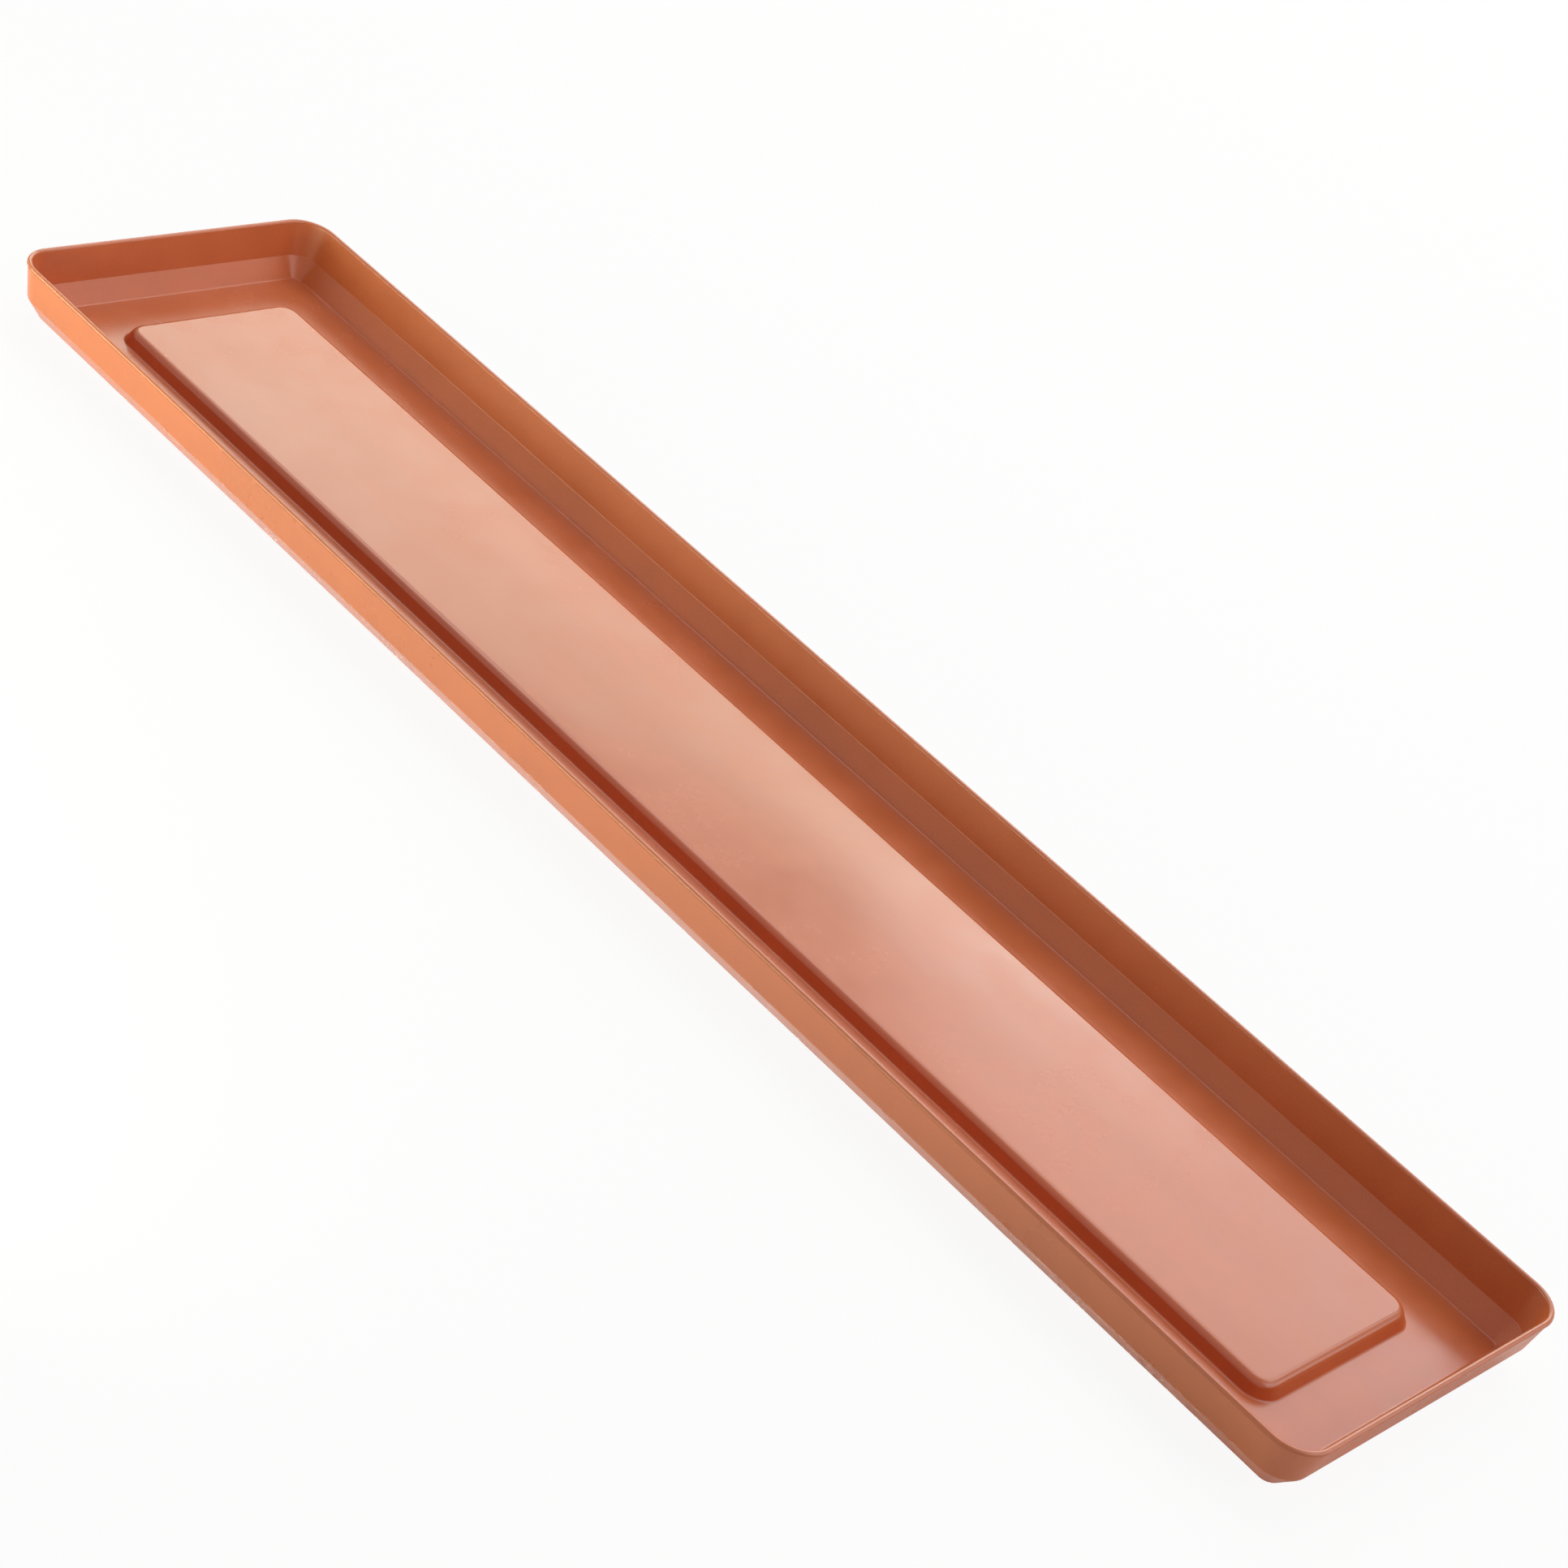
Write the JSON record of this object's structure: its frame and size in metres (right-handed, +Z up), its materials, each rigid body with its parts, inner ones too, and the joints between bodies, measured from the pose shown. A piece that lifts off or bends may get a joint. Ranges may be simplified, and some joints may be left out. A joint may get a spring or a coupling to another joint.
{
  "type": "planter box saucer",
  "caption": "Long shallow plastic drip tray with a rounded rim lip, sloping lower walls, a drain channel all round and a raised platform for a planter box.",
  "frame": {"origin": "centre of the tray's outline, on the ground that it stands on", "axes": "+X along the length, towards the end that is nearest in the picture; +Y across, towards the far long wall; +Z up"},
  "size_m": [0.762, 0.167, 0.0267],
  "materials": {
    "terracotta_plastic": "satin"
  },
  "bodies": {
    "root": {"saucer": "terracotta_plastic"}
  },
  "joints": []
}
